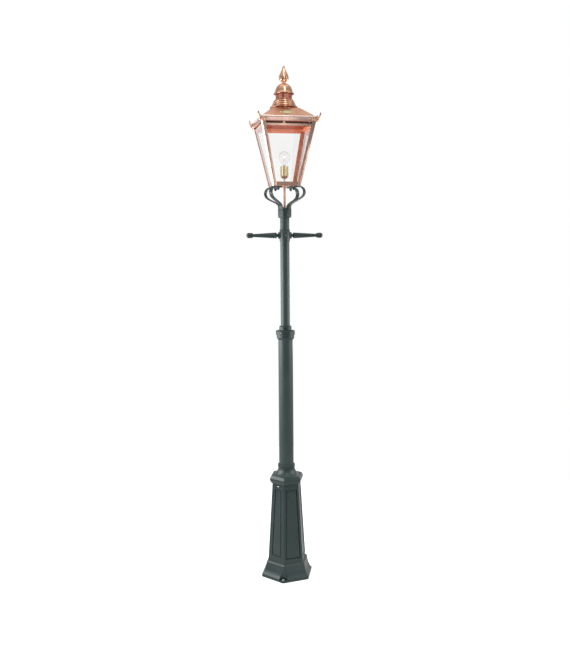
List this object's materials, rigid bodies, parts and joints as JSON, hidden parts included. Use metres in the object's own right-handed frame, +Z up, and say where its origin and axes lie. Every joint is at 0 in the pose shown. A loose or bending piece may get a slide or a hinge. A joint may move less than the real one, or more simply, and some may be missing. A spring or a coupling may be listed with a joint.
{
  "type": "garden lamp post",
  "caption": "Garden lamp post: panelled cast base with a tilting door, stepped tubes, ladder bar and a square copper lantern with a hinged roof.",
  "frame": {"origin": "on the ground in the middle of the base", "axes": "+Z up the post, -Y towards the lantern's front, +X along the ladder bar to the right as seen from the front"},
  "size_m": [0.402, 0.322, 2.6288],
  "materials": {
    "cast_paint": "satin dark grey-green paint on a light alloy casting",
    "steel_paint": "satin dark grey-green paint on steel",
    "bright_steel": "bright zinc plated",
    "dark_moulding": "matte",
    "copper": "polished copper",
    "brass": "polished",
    "porcelain": "glazed",
    "pane_glass": "clear",
    "bulb_glass": "clear"
  },
  "bodies": {
    "post": {"base_casting": "cast_paint", "collar_casting": "cast_paint", "ladder_sleeve": "cast_paint", "ladder_arm_left": "cast_paint", "ladder_arm_right": "cast_paint", "bracket_hub": "cast_paint", "lower_tube": "steel_paint", "upper_tube": "steel_paint", "bracket_nuts": "steel_paint", "bracket_arm_front_left": "steel_paint", "bracket_arm_front_right": "steel_paint", "bracket_arm_back_right": "steel_paint", "bracket_arm_back_left": "steel_paint", "collar_screws": "bright_steel", "ladder_screw": "bright_steel", "terminal_plate": "bright_steel", "holder_stem": "bright_steel", "stem_locknut": "bright_steel", "bracket_bolts": "bright_steel", "terminal_block": "dark_moulding", "conduit_tube": "copper", "base_tray": "copper", "top_frame": "copper", "catch_tab": "copper", "corner_post_front_left": "copper", "corner_post_front_right": "copper", "corner_post_back_right": "copper", "corner_post_back_left": "copper", "hinge_leaf_fixed": "brass", "hinge_pin": "brass", "holder_cup": "brass", "holder_ring": "brass", "holder_shell": "brass", "bulb_cap": "brass", "holder_insert": "porcelain", "glass_pane_front": "pane_glass", "glass_pane_right": "pane_glass", "glass_pane_back": "pane_glass", "glass_pane_left": "pane_glass", "bulb_glass": "bulb_glass"},
    "roof": {"eaves_fascia": "copper", "roof_shell": "copper", "chimney_skirt": "copper", "vent_neck": "copper", "dome_cap": "copper", "finial": "copper", "fascia_screws": "brass", "hinge_leaf_moving": "brass", "corner_leaf_front_left": "copper", "corner_leaf_front_right": "copper", "corner_leaf_back_right": "copper", "corner_leaf_back_left": "copper"},
    "door": {"inspection_door": "cast_paint"},
    "door_screw": {"door_screw": "bright_steel"}
  },
  "joints": [
    {"name": "roof_hinge", "type": "hinge", "parent": "post", "child": "roof", "pos_m": [0, 0.14384, 2.3176], "axis": [-1, 0, 0], "range_deg": [0, 95]},
    {"name": "door_tilt", "type": "hinge", "parent": "post", "child": "door", "pos_m": [-0.06707, -0.05749, 0.09657], "axis": [0.6508, -0.7593, 0], "range_deg": [0, 60]},
    {"name": "door_screw_turn", "type": "hinge", "parent": "door", "child": "door_screw", "pos_m": [-0.05169, -0.04431, 0.46342], "axis": [-0.7581, -0.6498, 0.0551], "continuous": true}
  ]
}
